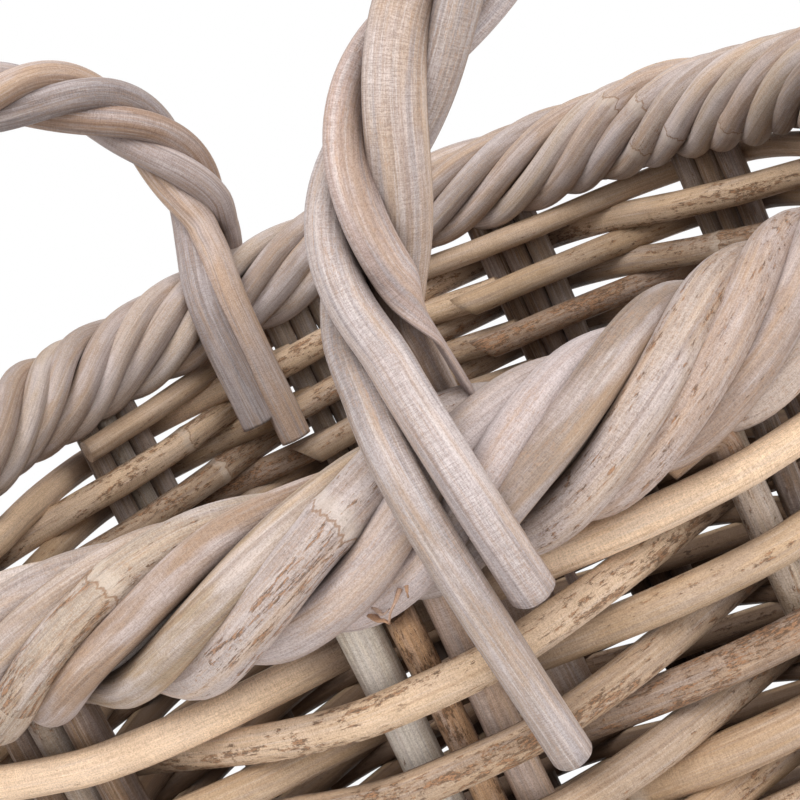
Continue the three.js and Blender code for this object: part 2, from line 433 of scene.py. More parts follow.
def cane_material(name, wash, warm, fibres, stripes, ladder, blotches, gloss):
    """Cane: fibres, powdery wash, tan streaks and dots, lines across, scars of bark, nodes, and
    painted shade in crevices.

    Each value but the last says how strongly what it names shows. gloss is the least roughness.
    """
    sh = Shader(name)
    grain = sh.attribute("grain", "Vector")
    wear = sh.attribute("wear", "Fac")
    ring = sh.attribute("ring", "Fac")
    crevice_shade = sh.attribute("crevice_shade", "Fac")
    noise = {key: sh.noise(grain, *settings) for key, settings in NOISES.items()}

    # Layers of colour: noise, where it starts and ends, its share there, colour and blend
    layers = (
        ("warmth", 0.50, 0.68, 0.0, warm, (204, 170, 134), "MIX"),
        ("cloud", 0.44, 0.64, 0.0, wash, (214, 203, 204), "MIX"),
        ("streak", 0.56, 0.64, 0.0, 0.3, (172, 150, 134), "MULTIPLY"),
        ("stripe", 0.54, 0.60, 0.0, stripes, (178, 150, 128), "MIX"),
        ("stripe", 0.46, 0.39, 0.0, stripes, (228, 220, 218), "MIX"),
        ("band", 0.54, 0.62, 0.0, stripes * 1.3, (166, 160, 164), "MIX"),
        ("fibre", 0.38, 0.54, fibres, 0.0, (132, 112, 98), "MULTIPLY"),
        ("fibre", 0.56, 0.70, 0.0, fibres, (224, 214, 208), "MIX"),
        ("hair", 0.40, 0.60, 0.10, 0.0, (100, 84, 72), "MULTIPLY"),
        ("grit", 0.38, 0.56, 0.34, 0.0, (146, 128, 114), "MULTIPLY"),
    )
    base = sh.attribute("tone", "Color")
    for key, start, end, at_start, at_end, shade, blend in layers:
        share = sh.rise(noise[key], start, end, at_start, at_end)
        base = sh.mix(share, base, colour(*shade), blend)

    # Lines across the cane, where it isn't warm, and tan dots, where it isn't washed
    cool = sh.rise(noise["warmth"], 0.44, 0.62, 1.0, 0.15)
    cracks = sh.times(sh.rise(noise["ticks"], 0.46, 0.62), cool)
    base = sh.mix(sh.times(cracks, ladder), base, LADDER, "MULTIPLY")
    clear = sh.rise(noise["cloud"], 0.44, 0.56, 1.0, 0.2)
    tan = sh.times(sh.rise(noise["dots"], 0.54, 0.60), clear)
    base = sh.mix(sh.times(tan, TAN_SHARE), base, TAN)

    # Bark is left in streaks before a node, and elsewhere in ragged blotches. Both grow with wear.
    after = sh.times(sh.rise(ring, -1.0, 1.0), FEWER_AFTER_NODE)
    patchy = sh.rise(sh.plus(noise["patch"], sh.times(wear, PATCH_PER_WEAR)), 0.48, 0.60)
    streaky = sh.minus(sh.plus(SCAR_START, after), sh.times(wear, SCAR_PER_WEAR))
    scars = sh.times(sh.rise(noise["scar"], streaky, sh.plus(streaky, 0.05)), patchy)
    ragged = sh.minus(BLOTCH_START, sh.times(wear, BLOTCH_PER_WEAR))
    ragged = sh.minus(ragged, sh.rise(noise["patch"], 0.40, 0.66, 0.0, blotches))
    spots = sh.rise(noise["blotch"], ragged, sh.plus(ragged, 0.07))
    worn_thin = sh.rise(noise["grit"], 0.32, 0.46, 0.45, 1.0)
    bark = sh.times(sh.math("MAXIMUM", scars, spots), worn_thin)
    bark_tone = sh.mix(sh.rise(noise["dots"], 0.46, 0.56), DARK_BARK, LIGHT_BARK)
    base = sh.mix(sh.times(bark, BARK_SHARE), base, bark_tone)
    pits = sh.rise(noise["dots"], sh.minus(PIT_START, sh.times(wear, PIT_PER_WEAR)), 0.76)
    base = sh.mix(sh.times(pits, PIT_SHARE), base, PIT)

    # A node is a wavy line with a lighter band beside it.
    place = sh.plus(ring, sh.times(sh.minus(noise["wiggle"], 0.5), NODE_WIGGLE))
    line = sh.rise(sh.math("ABSOLUTE", place), 0.12, 0.40, 0.7, 0.0)
    halo = sh.rise(sh.math("ABSOLUTE", sh.minus(place, HALO_PLACE)), 0.4, 2.6, 0.3, 0.0)
    base = sh.mix(halo, base, NODE_HALO)
    base = sh.mix(line, base, NODE_LINE)
    # Painted shade: the colour is darkened in crevices and where other canes would shade it.
    painted_shade = sh.times(sh.math("POWER", crevice_shade, CREVICE_SHADE_POWER), CREVICE_SHADE_SHARE)
    base = sh.mix(painted_shade, base, CREVICE_SHADE, "MULTIPLY")
    sh.link(base, sh.bsdf.inputs["Base Color"])
    roughness = sh.rise(noise["fibre"], 0.3, 0.7, gloss + ROUGHER_SHARE, gloss)
    sh.link(roughness, sh.bsdf.inputs["Roughness"])
    sh.bsdf.inputs["Specular IOR Level"].default_value = SPECULAR

    # What stands out of the surface or lies below it, as shares of the bump's depth
    reliefs = (
        (noise["fibre"], 0.8), (noise["hair"], 0.35), (noise["grit"], 0.5),
        (cracks, -0.3), (bark, 0.8), (line, -0.8),
    )
    height, *others = [sh.times(source, depth) for source, depth in reliefs]
    for relief in others:
        height = sh.plus(height, relief)
    bump = sh.tree.nodes.new("ShaderNodeBump")
    bump.inputs["Strength"].default_value = BUMP_STRENGTH
    bump.inputs["Distance"].default_value = BUMP_DEPTH
    sh.link(height, bump.inputs["Height"])
    sh.link(bump.outputs["Normal"], sh.bsdf.inputs["Normal"])
    return sh.material


# Wash, warmth, fibres, stripes, lines across, blotches and least roughness
WASHED = cane_material("washed_cane", 0.5, 0.4, 0.14, 0.14, 0.16, 0.09, 0.52)
ROPED = cane_material("roped_cane", 0.45, 0.35, 0.2, 0.34, 0.26, 0.06, 0.52)
WOVEN = cane_material("woven_cane", 0.1, 0.35, 0.12, 0.12, 0.18, 0.16, 0.42)
STAKE = cane_material("stake_cane", 0.3, 0.3, 0.25, 0.2, 0.2, 0.14, 0.6)

# Painted shade inside the basket, darker further down: the height where it starts, how far down it
# is full, and how dark it is
DARK_TOP = 406
DARK_RUN = 36
DARK_SHADE = 0.97
# Painted shade where a cane touches or faces another: how far in from its surface, and how dark
INWARD_DEPTH = 2.5
INWARD_START = 0.3
FRONT_SHARE = 0.7
STAKE_SHADE_DEPTH = 3.0
STAKE_FACE_SHADE = 0.75
STAKE_INSIDE_SHADE = 0.45
WEAVER_SHADE_DEPTH = 3.5
WEAVER_FREE_DEPTH = 9.5
WEAVER_SHADE = 0.85
PASS_HALF_WIDTH = 0.34
PASS_EDGE = 0.12


def from_axis(points):
    """How far points lie from the basket's axis."""
    return np.linalg.norm(points[..., :2], axis=-1)


def depth_shade(points):
    """Painted shade, darker further down inside the basket."""
    across = from_axis(points)
    inward = ramp((across.mean(axis=1, keepdims=True) - across) / INWARD_DEPTH + INWARD_START)
    return inward * ramp((DARK_TOP - points[..., 2]) / DARK_RUN) * DARK_SHADE


def between_stakes(points):
    """Painted shade where stakes face one another, and inside the wall."""
    across = from_axis(points) - WALL_RADIUS
    inside = ramp(-across / STAKE_SHADE_DEPTH)
    from_front = ramp((across.max() * FRONT_SHARE - across) / STAKE_SHADE_DEPTH)
    faces = ramp(from_front - 2 * inside) * STAKE_FACE_SHADE
    return np.maximum(faces + inside * STAKE_INSIDE_SHADE, depth_shade(points))


def behind_stakes(points):
    """Painted shade where a weaver lies on the stakes, and further down inside the basket."""
    across = np.abs(from_axis(points) - WALL_RADIUS)
    count = (np.arctan2(points[..., 1], points[..., 0]) - FIRST_GROUP_ANGLE) / GROUP_ANGLE
    off = np.abs(np.mod(count + 0.5, 1.0) - 0.5)
    near_stakes = ramp((WEAVER_FREE_DEPTH - across) / WEAVER_SHADE_DEPTH)
    touching = near_stakes * ramp((PASS_HALF_WIDTH - off) / PASS_EDGE) * WEAVER_SHADE
    return np.maximum(touching, depth_shade(points))


# Group and number of the stakes in front of the camera: radius, tone and bark
NEAR_STAKES = {
    (0, 0): (3.9, (234, 224, 208), 0.5),
    (0, 1): (2.8, (222, 178, 136), 1.35),
    (0, 2): (3.4, (218, 188, 166), 0.3),
    (1, 0): (3.3, (222, 200, 176), 0.85),
    (1, 1): (2.6, (130, 110, 94), 0.9),
    (1, 2): (2.8, (112, 86, 66), 0.5),
}
STAKE_RADII = (3.5, 3.95)
STAKE_WEAR = (0.2, 0.9)
STAKE_NODES = (20, 400)
STAKE_STEP = 4.0
STAKE_WAVE_OFF_WALL = (160.0, 0.15)
STAKE_WAVE_ASIDE = (140.0, 0.3)
STAKE_TOP_TILT = -0.35
# How far the stakes reach up into the border. One is broken off lower, and unevenly.
STAKE_REACH = 6.0
BROKEN_STAKE = (0, 1)
BROKEN_REACH = 2.3
BROKEN_UNEVENNESS = 1.5


def make_stakes():
    """The uprights."""
    for group in range(GROUPS):
        for i in range(STAKES_PER_GROUP):
            radius, tone = rng.uniform(*STAKE_RADII), pick(WEATHERED)
            wear = rng.uniform(*STAKE_WEAR)
            if (group, i) in NEAR_STAKES:
                radius, shown, wear = NEAR_STAKES[(group, i)]
                tone = linear(*shown)
            broken = (group, i) == BROKEN_STAKE
            top = BORDER_BOTTOM + (BROKEN_REACH if broken else STAKE_REACH)
            z = np.arange(FOOT_HEIGHT, top, STAKE_STEP)
            angle = group_angle(group) + (i - 1) * STAKE_SPACING / WALL_RADIUS
            off_wall, aside = wobble(z, *STAKE_WAVE_OFF_WALL), wobble(z, *STAKE_WAVE_ASIDE)
            path = polar(WALL_RADIUS + off_wall, angle + aside / WALL_RADIUS, z)
            outward = polar(1.0, angle, 0.0)[None, :]
            canes = Canes()
            canes.add(
                path, radius, outward, tone, wear, sides=16, rings=rng.uniform(*STAKE_NODES, 2),
                tilt=(0.0, STAKE_TOP_TILT), dark=between_stakes,
                ragged=BROKEN_UNEVENNESS if broken else 0.0,
            )
            place = f"{group + 1}_{i + 1}"
            canes.build(f"stake_cane_{place}", STAKE, "stake_cane", f"stake_{place}")


# A weaver's wave, as shares of the way to the next group: how much is flat and how much slopes,
# and how much of the slope is straight and not a cosine
FLAT_SHARE = 0.14
SLOPE_SHARE = 0.72
STRAIGHT_SHARE = 0.65
TAIL_DRIFT = 8.0
TAIL_BEND = 1.3
WEAVER_STEP = 3.0
# In front of the camera the upper rows are pressed up to the border: how far, over how many
# groups to either side and over how many rows. The second row is pressed up further.
PRESSED_UP = 2.6
PRESSED_GROUPS = 1.3
PRESSED_ROWS = 7
SECOND_ROW = 1.21
SECOND_ROW_UP = 0.55
SECOND_ROW_REACH = 0.4
# Below the upper rows, passes away from the camera lie a little lower, so that the weave looks
# as tight as it is.
TIGHTER = 1.3
TIGHTER_START_ROWS = 6
TIGHTER_START_SHARE = 0.6


def weave_wave(count):
    """1 where a weaver passes outside a stake group, -1 inside, flat along the group."""
    pair = np.mod(count, 2.0)
    u = np.where(pair > 1, 2 - pair, pair)
    v = ramp((u - FLAT_SHARE) / SLOPE_SHARE)
    return (1 - STRAIGHT_SHARE) * np.cos(math.pi * v) + STRAIGHT_SHARE * (1 - 2 * v)


def weave_angle(count):
    """Where a weaver is round the wall, from the groups that it has passed."""
    return FIRST_GROUP_ANGLE + (FIRST_PASSED_GROUP + count) * GROUP_ANGLE


def weaver_path(start, end, tail):
    """A weaver from one place to another, in groups passed. Its tail may leave the wall inwards."""
    count = np.arange(start, end, WEAVER_STEP / (WALL_RADIUS * GROUP_ANGLE))
    drift = ramp((count - (end - tail)) / tail) ** TAIL_BEND * TAIL_DRIFT if tail else 0.0
    wave = weave_wave(count)
    radius = WALL_RADIUS + PASS_OFFSET * wave - drift
    rows_below = (PASSES - count) / GROUPS
    to_camera = np.mod(count + FIRST_PASSED_GROUP - CAMERA_GROUP + GROUPS / 2, GROUPS) - GROUPS / 2
    by_camera = bell(to_camera, PRESSED_GROUPS)
    pressed = PRESSED_UP * by_camera * bell(rows_below, PRESSED_ROWS)
    second = SECOND_ROW_UP * by_camera * bell(rows_below - SECOND_ROW, SECOND_ROW_REACH)
    lower_rows = ramp(rows_below / TIGHTER_START_ROWS - TIGHTER_START_SHARE)
    tight = TIGHTER * wave * np.cos(to_camera * GROUP_ANGLE) * lower_rows
    height = WEAVE_BOTTOM + ROW_PITCH * count / GROUPS + (pressed + second) + tight
    return polar(radius, weave_angle(count), height)


# The rows in front of the camera, from the top one down: tone, bark and radius
NEAR_ROWS = (
    ((247, 215, 181), 0.1, 3.2),
    ((224, 194, 162), 1.18, 3.2),
    ((192, 163, 131), 0.6, 3.2),
    ((186, 160, 134), 1.3, 3.2),
    ((166, 140, 118), 1.45, 3.3),
    ((186, 160, 134), 0.8, 3.4),
)
# The place in a round, in groups passed, that the camera sees
NEAR_ROW_PLACE = 9.5
UPPER_ROWS = 7
# The first join, the steps between joins in pairs of groups, and the room before the upper rows
FIRST_JOIN = 9
JOIN_STEPS = (4, 9)
JOIN_ROOM = 16
# How far after a join its cane starts, and how far past the next join it ends
JOIN_LAP = (0.08, 0.3)
LAST_GAP = 0.5
TAIL = 0.45
WEAVER_WEAR = (0.2, 0.9)
WEAVER_TILT = (0.5, 0.8)
WEAVER_FLATNESS = -0.08
WEAVER_WAVE = (120.0, 0.16)
THICKENING = (1.06, 1.14)
FIRST_NODE = (40, 200)
NODE_SPACING = (210, 330)
NODES_FROM_CAMERA = 2.2
THICKER_RUN_GROUPS = 1.5
THICKER_START_RUNS = 1.5
FILLER_GROUPS = 4.2
FILLER_STEP = 0.04
FILLER_RISE = 0.6


def weaver_joins():
    """The places where one cane of the wall follows another, in groups passed."""
    # Canes follow one another inside a stake group. In the upper rows each passes the camera once.
    upper = [PASSES - GROUPS * row + 3 - (row + 1) % 2 for row in range(UPPER_ROWS, 0, -1)]
    joins = [0, FIRST_JOIN]
    while joins[-1] < upper[0] - JOIN_ROOM:
        joins.append(joins[-1] + 2 * int(rng.integers(*JOIN_STEPS)))
    return joins[:-1] + upper + [PASSES]


def make_weavers():
    """The wall's canes, in one mesh for each weaver of the part."""
    joins = weaver_joins()
    meshes = [Canes() for _ in range(WEAVERS)]
    for a, b in zip(joins[:-1], joins[1:]):
        last = b >= PASSES
        start = a + (JOIN_LAP[0] if a else 0.0)
        path = weaver_path(start, b - LAST_GAP if last else b + JOIN_LAP[1], 0.0 if last else TAIL)
        tone, wear, near_radius = pick(CANE_TONES), rng.uniform(*WEAVER_WEAR), None
        for row, (shown, shown_wear, shown_radius) in enumerate(NEAR_ROWS):
            if a < PASSES - GROUPS * (row + 1) + NEAR_ROW_PLACE < b:
                tone, wear, near_radius = linear(*shown), shown_wear, shown_radius
        s = lengths(path)
        path[:, 2] += wobble(s, *WEAVER_WAVE)
        rings = np.arange(rng.uniform(*FIRST_NODE), s[-1], rng.uniform(*NODE_SPACING))
        radius = WEAVER_RADIUS * rng.uniform(*THICKENING)
        if near_radius:
            # In the photograph the near canes are thinner, and none has a node in view.
            off = np.abs(wrapped(np.arctan2(path[:, 1], path[:, 0]) - group_angle(CAMERA_GROUP)))
            full = ramp(off / GROUP_ANGLE / THICKER_RUN_GROUPS - THICKER_START_RUNS)
            radius = near_radius + (radius - near_radius) * full
            out_of_view = NODES_FROM_CAMERA * GROUP_ANGLE
            rings = [ring for ring in rings if np.interp(ring, s, off) > out_of_view]
        index = min(int(a // (ROWS_PER_WEAVER * GROUPS)), WEAVERS - 1)
        meshes[index].add(
            path, radius, UP, tone, wear, rings=rings, flatness=WEAVER_FLATNESS,
            tilt=WEAVER_TILT, dark=behind_stakes,
        )
    # A short cane fills the step that the last round leaves under the border.
    count = np.arange(PASSES + JOIN_LAP[0], PASSES + FILLER_GROUPS, FILLER_STEP)
    radius = WALL_RADIUS + PASS_OFFSET * weave_wave(count)
    filler = polar(radius, weave_angle(count), WEAVE_BOTTOM + ROW_PITCH * ROWS + FILLER_RISE)
    meshes[-1].add(filler, WEAVER_RADIUS, UP, pick(CANE_TONES), wear=0.5)
    for i, canes in enumerate(meshes):
        canes.build(f"weaver_canes_{i + 1}", WOVEN, "weaver_cane", f"weaver_{i + 1}")


# Strand and turn of the border's canes in front of the camera: tone, bark, radius, the places of
# nodes, how far the cane is turned about the rope's middle and where along the rim, and how far
# it stands out of the rope
NEAR_BORDER = {
    (5, 0): ((188, 168, 152), 0.4, 3.9, [], 0.0, 0.0, 0.0),
    (4, 0): ((186, 168, 151), 1.25, 4.2, [59.0], 0.0, 0.0, 0.6),
    (3, 0): ((169, 143, 123), 0.2, 3.7, [], 0.2, -52.0, 0.0),
    (2, 0): ((172, 151, 127), 0.3, 4.0, [], -0.06, -12.0, 0.1),
    (1, 0): ((196, 181, 174), 1.07, 4.8, [53.5], -0.07, -6.0, 1.1),
    (0, 0): ((192, 176, 170), 0.3, 4.6, [], -0.16, -3.0, -0.5),
    (7, 1): ((208, 193, 190), 0.3, 3.9, [], -0.1, 0.0, 0.0),
    (6, 1): ((160, 141, 127), 0.3, 3.9, [], 0.22, 22.0, 0.6),
    (5, 1): ((192, 173, 160), 1.27, 4.6, [128.0], -0.27, 27.0, 0.1),
    (4, 1): ((186, 164, 151), 1.3, 4.3, [128.0], -0.25, 28.0, 0.3),
    (3, 1): ((173, 151, 137), 0.8, 4.1, [], -0.12, 36.0, -0.4),
}
TURN_ANGLE = FULL_TURN / BORDER_TURNS
TURN_LENGTH = 135.0
TURN_OVERLAP = 0.02
TUCK_DEPTH = 0.3
TUCK_REACH = 0.06
SHIFT_REACH = 14
BORDER_RADIUS_WAVE = (130.0, 0.03)
BORDER_TWIST_WAVE = (150.0, 0.07)
# The rope lies lower beside the near handle: how far, and the middle of the place along the rim
LOW_SHARE = 0.16
LOW_PLACE = -4
LOW_REACH = 14
# Across from the camera the canes lie at a lower slope
FAR_SLOPE = 0.17
FAR_SLOPE_REACH = 0.8
BORDER_WEAR = (0.1, 0.8)
BORDER_RADII = (3.7, 4.5)
BORDER_NODES = (20, 110)
TURNS_PER_NODE = 3
BORDER_SHIFT = 0.09
BORDER_LIFT = (-0.6, 0.7)
BORDER_FIBRE_TWIST = 0.012
# Painted shade in the rope's crevices: the distance from its middle where it is full and where it
# starts, near the camera and across from it
NEAR_CREVICE_SHADE_REACH = (9.8, 12.6)
FAR_CREVICE_SHADE_REACH = (9.0, 11.8)
CORE_STRANDS = 5
CORE_STRAND_RADIUS = 2.8
CORE_HALF_WIDTH = 5.0
CORE_HALF_HEIGHT = 5.6
# Painted shade in the crevices of the deeper canes, as above
CORE_CREVICE_SHADE_REACH = (6.2, 9.6)
CORE_ROUND_SHARE = 0.9995
CORE_TONE = linear(206, 190, 176)
# A dark tube along the rope's middle, painted shade that shows through the gaps
CORE_MIDDLE_SHADE_TONE = linear(70, 54, 42)


def border_cane(strand, turn):
    """Tone, bark, radius, nodes, shift and its place, and lift of one turn of a strand."""
    rings = [rng.uniform(*BORDER_NODES)] if turn % TURNS_PER_NODE == 0 else []
    tone, wear, radius = pick(GREY_WASH), rng.uniform(*BORDER_WEAR), rng.uniform(*BORDER_RADII)
    shift, lift = rng.uniform(-BORDER_SHIFT, BORDER_SHIFT), rng.uniform(*BORDER_LIFT)
    cane = (tone, wear, radius, rings, shift, None, lift)
    if (strand, turn) in NEAR_BORDER:
        shown, *rest = NEAR_BORDER[(strand, turn)]
        cane = (linear(*shown), *rest)
    return cane


def make_border():
    """The rolled rim. Each turn of a strand is a cane of its own, joined under the rim."""
    t = np.linspace(-TURN_OVERLAP, 1 + TURN_OVERLAP, 72)
    s = t * TURN_LENGTH
    tuck = 1 - TUCK_DEPTH * bell(np.minimum(t, 1 - t), TUCK_REACH)
    for strand in range(BORDER_STRANDS):
        canes = Canes()
        start = (-math.pi / 2 - FULL_TURN * strand / BORDER_STRANDS) / BORDER_TURNS
        for turn in range(BORDER_TURNS):
            around = FIRST_GROUP_ANGLE + start + (turn + t) * TURN_ANGLE
            across = wrapped(around - group_angle(FAR_GROUP))
            around = around + FAR_SLOPE * np.sin(2 * across) * bell(across, FAR_SLOPE_REACH)
            beside = WALL_RADIUS * (around - group_angle(0))
            tone, wear, radius, rings, shift, place, lift = border_cane(strand, turn)
            near = tuck * (1 + wobble(s, *BORDER_RADIUS_WAVE) + lift / BORDER_HALF_WIDTH)
            twist = -math.pi / 2 + FULL_TURN * t + wobble(s, *BORDER_TWIST_WAVE)
            twist += shift * (1 if place is None else bell(beside - place, SHIFT_REACH))
            near = near - LOW_SHARE * bell(beside - LOW_PLACE, LOW_REACH) * ramp(np.sin(twist))
            path = polar(
                WALL_RADIUS + BORDER_HALF_WIDTH * near * np.cos(twist),
                around,
                BORDER_MIDDLE + BORDER_HALF_HEIGHT * near * np.sin(twist),
            )
            far = np.abs(across).min() < 1
            canes.add(
                path, radius, UP, tone, wear, sides=18, rings=rings,
                twist=rng.uniform(-BORDER_FIBRE_TWIST, BORDER_FIBRE_TWIST),
                core=polar(WALL_RADIUS, around, BORDER_MIDDLE),
                reach=FAR_CREVICE_SHADE_REACH if far else NEAR_CREVICE_SHADE_REACH,
            )
        number = strand + 1
        canes.build(f"border_canes_{number}", WASHED, "border_cane", f"border_strand_{number}")
    make_border_core()


def make_border_core():
    """The canes deeper in the roll, with painted shade in their crevices, and a dark tube of
    painted shade along the middle, which show through its gaps.
    """
    around = np.linspace(0, FULL_TURN * CORE_ROUND_SHARE, 900)
    middle = polar(WALL_RADIUS, around, BORDER_MIDDLE)
    core = Canes()
    for strand in range(CORE_STRANDS):
        twist = BORDER_TURNS * around + FULL_TURN * strand / CORE_STRANDS
        radius = WALL_RADIUS + CORE_HALF_WIDTH * np.cos(twist)
        path = polar(radius, around, BORDER_MIDDLE + CORE_HALF_HEIGHT * np.sin(twist))
        core.add(
            path, CORE_STRAND_RADIUS, UP, CORE_TONE, wear=0.6, sides=10, core=middle,
            reach=CORE_CREVICE_SHADE_REACH,
        )
    # A dark tube along the middle: painted shade in the depth of the roll.
    core.add(middle[::4], CORE_HALF_HEIGHT, UP, CORE_MIDDLE_SHADE_TONE, wear=0.6, sides=14)
    core.build("border_core", WASHED, "border_cane")


# Frayed ends under the rim beside the near handle: radius, and the points of each with their
# place along the wall from the handle's foot, height and distance from the axis
FIBRES = (
    (0.55, (
        (-19.6, 453.4, 158.4), (-18.6, 452.6, 160.6), (-17.8, 452.5, 161.4), (-17.2, 451.8, 161.6),
    )),
    (0.42, (
        (-13.2, 456.6, 161.5), (-14.9, 455.1, 162.4), (-16.4, 453.6, 162.2), (-17.3, 451.9, 161.6),
    )),
    (0.26, ((-12.0, 457.0, 162.6), (-12.4, 456.0, 163.4), (-12.6, 455.0, 162.9))),
    (0.35, ((-18.6, 454.6, 158.8), (-17.6, 453.4, 160.8), (-16.2, 454.2, 161.6))),
)
FIBRE_TAPER = (1.3, 0.5)
FIBRE_TONE = linear(188, 148, 118)
# A near stake's end that bends over under the rim, from the stake's own place along the wall
BENT_END = (
    (-3.0, 441.9, 152.0), (-2.4, 448.4, 152.6), (-3.4, 452.2, 153.2),
    (-6.6, 453.4, 153.6), (-10.6, 452.8, 153.4), (-14.0, 451.8, 152.6),
)
BENT_END_RADIUS = 3.0
BENT_END_TONE = linear(180, 150, 124)


def path_on_wall(points, angle, step):
    """A path from places along the wall, heights and distances from the axis."""
    return smooth(np.array([polar(r, angle + along / r, z) for along, z, r in points]), step)


def make_fibres():
    """The frayed fibres under the rim."""
    foot = group_angle(HANDLE_START_GROUPS[0]) + HANDLE_FOOT_ANGLE
    fibres = Canes()
    for radius, points in FIBRES:
        path = path_on_wall(points, foot, 0.4)
        width = radius * np.linspace(*FIBRE_TAPER, len(path))
        fibres.add(path, width, UP, FIBRE_TONE, wear=0.6, sides=8, flatness=0.35, ragged=0.3)
    fibres.build("border_fibres", WASHED, "border_cane")


def make_bent_end():
    """One near stake's bent end."""
    stake = group_angle(1) - STAKE_SPACING / WALL_RADIUS
    path = path_on_wall(BENT_END, stake, 0.8)
    outward = polar(1.0, stake, 0.0)[None, :]
    end = Canes()
    end.add(path, BENT_END_RADIUS, outward, BENT_END_TONE, wear=1.3, sides=14, ragged=1.0)
    end.build("stake_bend", STAKE, "stake_cane")


def leg_points(foot, rope, side, out_sign, side_sign, drop, foot_rise, places):
    """A handle leg from its cut end up past the border, as in the part's source."""
    out = out_sign * (LEG_OFFSET + HANDLE_STRAND_RADIUS)
    near_wall = out_sign * (PASS_OFFSET + WEAVER_RADIUS + CLEARANCE + HANDLE_STRAND_RADIUS)
    aside = (OUTER_LEG_ASIDE if out_sign > 0 else INNER_LEG_ASIDE) + side_sign * LEG_HALF_SPACING
    lean = OUTER_LEG_LEAN if out_sign > 0 else 0.0

    def leg(offset, z, share):
        radius = WALL_RADIUS + rope + (offset - rope) * share
        along = side + (aside + lean * (BORDER_TOP - z) - side) * share
        return polar(radius, foot + along / radius, z)

    heights = [BORDER_BOTTOM + height for height in LEG_HEIGHTS]
    heights.append(BORDER_TOP + LEG_RISE_SHARE * foot_rise)
    rows = [leg(near_wall, BORDER_BOTTOM - drop, 1.0)]
    return rows + [leg(out, z, share) for z, share in zip(heights, places)]


def sway(t, h, foot_sway):
    """How far a handle's arch stands aside of its even curve, near the foot that shows."""
    foot = np.exp(-t / FOOT_SWAY_REACH)
    return (foot_sway * foot + HANDLE_ARCH_SWAYS[h] * (1 - foot)) * np.cos(t / 2) ** 2


def handle_path(strand, h, start_foot, end_foot):
    """The points of one strand of a handle, from cut end to cut end."""
    middle = (start_foot + end_foot) / 2
    half = (end_foot - start_foot) / 2
    phase = FULL_TURN * strand / HANDLE_STRANDS
    total = FULL_TURN * HANDLE_TURNS
    foot_rise, arch_height = HANDLE_FOOT_RISES[h], HANDLE_ARCH_HEIGHTS[h]
    shoulder = HANDLE_SHOULDER_SHARES[h]
    shares = LEG_TOP_SHARES.get((h, strand), LEG_PLACE_SHARES)
    foot_sway = STRAND_FOOT_SWAYS.get((h, strand), HANDLE_FOOT_SWAYS[h])

    def leg(foot, turn, way):
        angle = turn + way * math.pi / 4
        outer = math.cos(angle) > 0
        right = math.sin(angle) * way > 0
        drop = (OUTER_LEG_DROPS if outer else INNER_LEG_DROPS)[0 if right else 1]
        rope = HANDLE_ROPE_RADIUS * math.cos(turn)
        side = HANDLE_ROPE_RADIUS * math.sin(turn) * way
        if way > 0:
            side += foot_sway
        places = shares if way > 0 else LEG_PLACE_SHARES
        signs = (1 if outer else -1, 1 if right else -1)
        return leg_points(foot, rope, side, *signs, drop, foot_rise, places)

    path = leg(start_foot, phase, 1)
    for t in np.linspace(0, math.pi, 45):
        rise = foot_rise + arch_height * math.sin(t)
        angle = middle - half * math.cos(t) * (1 + shoulder * math.sin(t) ** 2)
        angle += sway(t, h, foot_sway) / WALL_RADIUS
        pace = half * math.sin(t) * (1 + shoulder * (math.sin(t) ** 2 - 2 * math.cos(t) ** 2))
        centre = polar(WALL_RADIUS, angle, BORDER_TOP + rise)
        along = np.array([-math.sin(angle), math.cos(angle), 0.0]) * WALL_RADIUS * pace
        along[2] = arch_height * math.cos(t)
        along /= np.linalg.norm(along)
        outward = polar(1.0, angle, 0.0)
        across = np.cross(along, outward)
        turn = phase + HANDLE_LAGS[h] * math.sin(t) - total * t / math.pi
        off = math.cos(turn) * outward + math.sin(turn) * across
        path.append(centre + HANDLE_ROPE_RADIUS * off)
    path += leg(end_foot, phase - total, -1)[::-1]
    return np.array(path)


def rope_middle(path, h, start_foot, end_foot):
    """The point of a handle's middle line nearest to each point of a strand, for its crevices."""
    t = np.linspace(0, math.pi, 200)
    middle, half = (start_foot + end_foot) / 2, (end_foot - start_foot) / 2
    height = BORDER_TOP + HANDLE_FOOT_RISES[h] + HANDLE_ARCH_HEIGHTS[h] * np.sin(t)
    angle = middle - half * np.cos(t) * (1 + HANDLE_SHOULDER_SHARES[h] * np.sin(t) ** 2)
    angle = angle + sway(t, h, HANDLE_FOOT_SWAYS[h]) / WALL_RADIUS
    line = polar(WALL_RADIUS, angle, height)
    nearest = np.argmin(np.linalg.norm(path[:, None] - line[None], axis=2), axis=1)
    return line[nearest]


# Handle and strand: tone, radius and flatness, as in the photograph
HANDLE_CANES = {
    (0, 0): ((196, 182, 178), 3.95, 0.0),
    (0, 1): ((198, 176, 168), 3.1, 0.45),
    (0, 2): ((195, 173, 157), 4.4, 0.25),
    (0, 3): ((173, 159, 152), 3.75, 0.0),
    (1, 0): ((186, 157, 138), 4.8, 0.0),
    (1, 1): ((172, 160, 158), 4.9, 0.1),
    (1, 2): ((208, 180, 160), 4.7, 0.1),
    (1, 3): ((196, 180, 176), 4.8, 0.0),
}
# This flat cane shows its edge where it goes down inside the rim, and is flatter there
EDGE_ON = (0, 1)
EDGE_ON_FLATNESS = 0.28
EDGE_ON_TOP, EDGE_ON_RUN = 27, 15
# The legs are softened more than the arch: from this far above the border, over this height
LEG_SOFT_TOP, LEG_SOFT_RUN = 16, 8
ARCH_SOFTENING, LEG_SOFTENING = 3, 6
HANDLE_STEP = 1.6
HANDLE_FIBRE_TWIST = 0.006
HANDLE_END_TILTS = (-0.15, 0.15)
